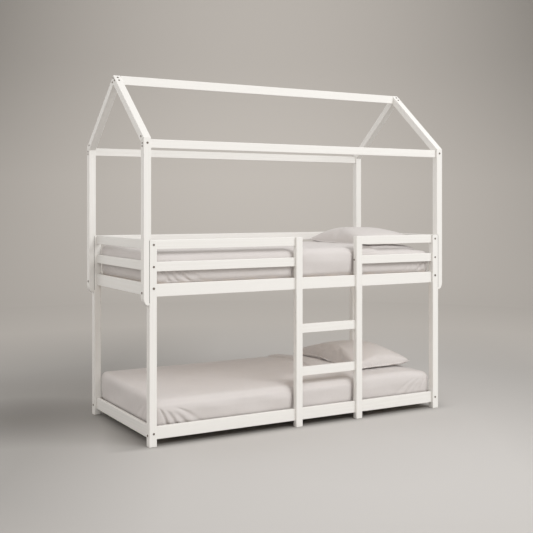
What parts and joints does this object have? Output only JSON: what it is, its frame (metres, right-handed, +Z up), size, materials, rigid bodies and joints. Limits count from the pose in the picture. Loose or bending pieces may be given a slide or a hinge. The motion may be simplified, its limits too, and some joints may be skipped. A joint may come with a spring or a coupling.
{
  "type": "house bunk bed",
  "caption": "Low bunk bed for children: painted timber posts and rails, a front ladder and a gabled house frame over the upper bunk, with mattresses and pillows.",
  "frame": {"origin": "on the floor, under the middle of the bed's length and depth", "axes": "+X along the bed towards the pillows (the right end, seen from the ladder side), -Y towards the ladder side, +Z up"},
  "size_m": [2.15, 0.981, 2.1393],
  "materials": {
    "white_paint": "satin white paint on timber",
    "bare_pine": "untreated planed pine",
    "sheet_cloth": "matt woven cotton",
    "pillow_cloth": "matt woven cotton",
    "dark_steel": "browned steel"
  },
  "bodies": {
    "bed_frame": {"corner_post_front_left": "white_paint", "corner_post_front_right": "white_paint", "corner_post_back_left": "white_paint", "corner_post_back_right": "white_paint", "ladder_post_left": "white_paint", "ladder_post_right": "white_paint", "ladder_rung_1": "white_paint", "ladder_rung_2": "white_paint", "lower_side_rail_front": "white_paint", "lower_side_rail_back": "white_paint", "upper_side_rail_front": "white_paint", "upper_side_rail_back": "white_paint", "lower_end_rail_left": "white_paint", "lower_end_rail_right": "white_paint", "upper_end_rail_left": "white_paint", "upper_end_rail_right": "white_paint", "guard_mid_rail_front_left": "white_paint", "guard_mid_rail_front_right": "white_paint", "guard_top_rail_front_left": "white_paint", "guard_top_rail_front_right": "white_paint", "guard_mid_rail_back": "white_paint", "guard_top_rail_back": "white_paint", "guard_mid_end_rail_left": "white_paint", "guard_mid_end_rail_right": "white_paint", "guard_top_end_rail_left": "white_paint", "guard_top_end_rail_right": "white_paint", "house_post_front_left": "white_paint", "house_post_front_right": "white_paint", "house_post_back_left": "white_paint", "house_post_back_right": "white_paint", "rafter_front_left": "white_paint", "rafter_front_right": "white_paint", "rafter_back_left": "white_paint", "rafter_back_right": "white_paint", "ridge_beam": "white_paint", "eave_beam_front": "white_paint", "eave_beam_back": "white_paint", "lower_slat_ledge_front": "bare_pine", "lower_slat_ledge_back": "bare_pine", "upper_slat_ledge_front": "bare_pine", "upper_slat_ledge_back": "bare_pine", "lower_slatted_base": "bare_pine", "upper_slatted_base": "bare_pine", "lower_side_bolt_front_left": "dark_steel", "lower_side_bolt_front_right": "dark_steel", "lower_side_bolt_back_left": "dark_steel", "lower_side_bolt_back_right": "dark_steel", "upper_side_bolt_front_left": "dark_steel", "upper_side_bolt_front_right": "dark_steel", "upper_side_bolt_back_left": "dark_steel", "upper_side_bolt_back_right": "dark_steel", "upper_end_bolt_front_left": "dark_steel", "upper_end_bolt_front_right": "dark_steel", "upper_end_bolt_back_left": "dark_steel", "upper_end_bolt_back_right": "dark_steel"},
    "lower_mattress": {"lower_mattress": "sheet_cloth"},
    "upper_mattress": {"upper_mattress": "sheet_cloth"},
    "lower_pillow": {"lower_pillow": "pillow_cloth"},
    "upper_pillow": {"upper_pillow": "pillow_cloth"}
  },
  "joints": [
    {"name": "lower_mattress_lift", "type": "slide", "parent": "bed_frame", "child": "lower_mattress", "axis": [0, 0, 1], "range_m": [0, 0.3]},
    {"name": "upper_mattress_lift", "type": "slide", "parent": "bed_frame", "child": "upper_mattress", "axis": [0, 0, 1], "range_m": [0, 0.3]},
    {"name": "lower_pillow_lift", "type": "slide", "parent": "lower_mattress", "child": "lower_pillow", "axis": [0, 0, 1], "range_m": [0, 0.12]},
    {"name": "upper_pillow_lift", "type": "slide", "parent": "upper_mattress", "child": "upper_pillow", "axis": [0, 0, 1], "range_m": [0, 0.12]}
  ]
}
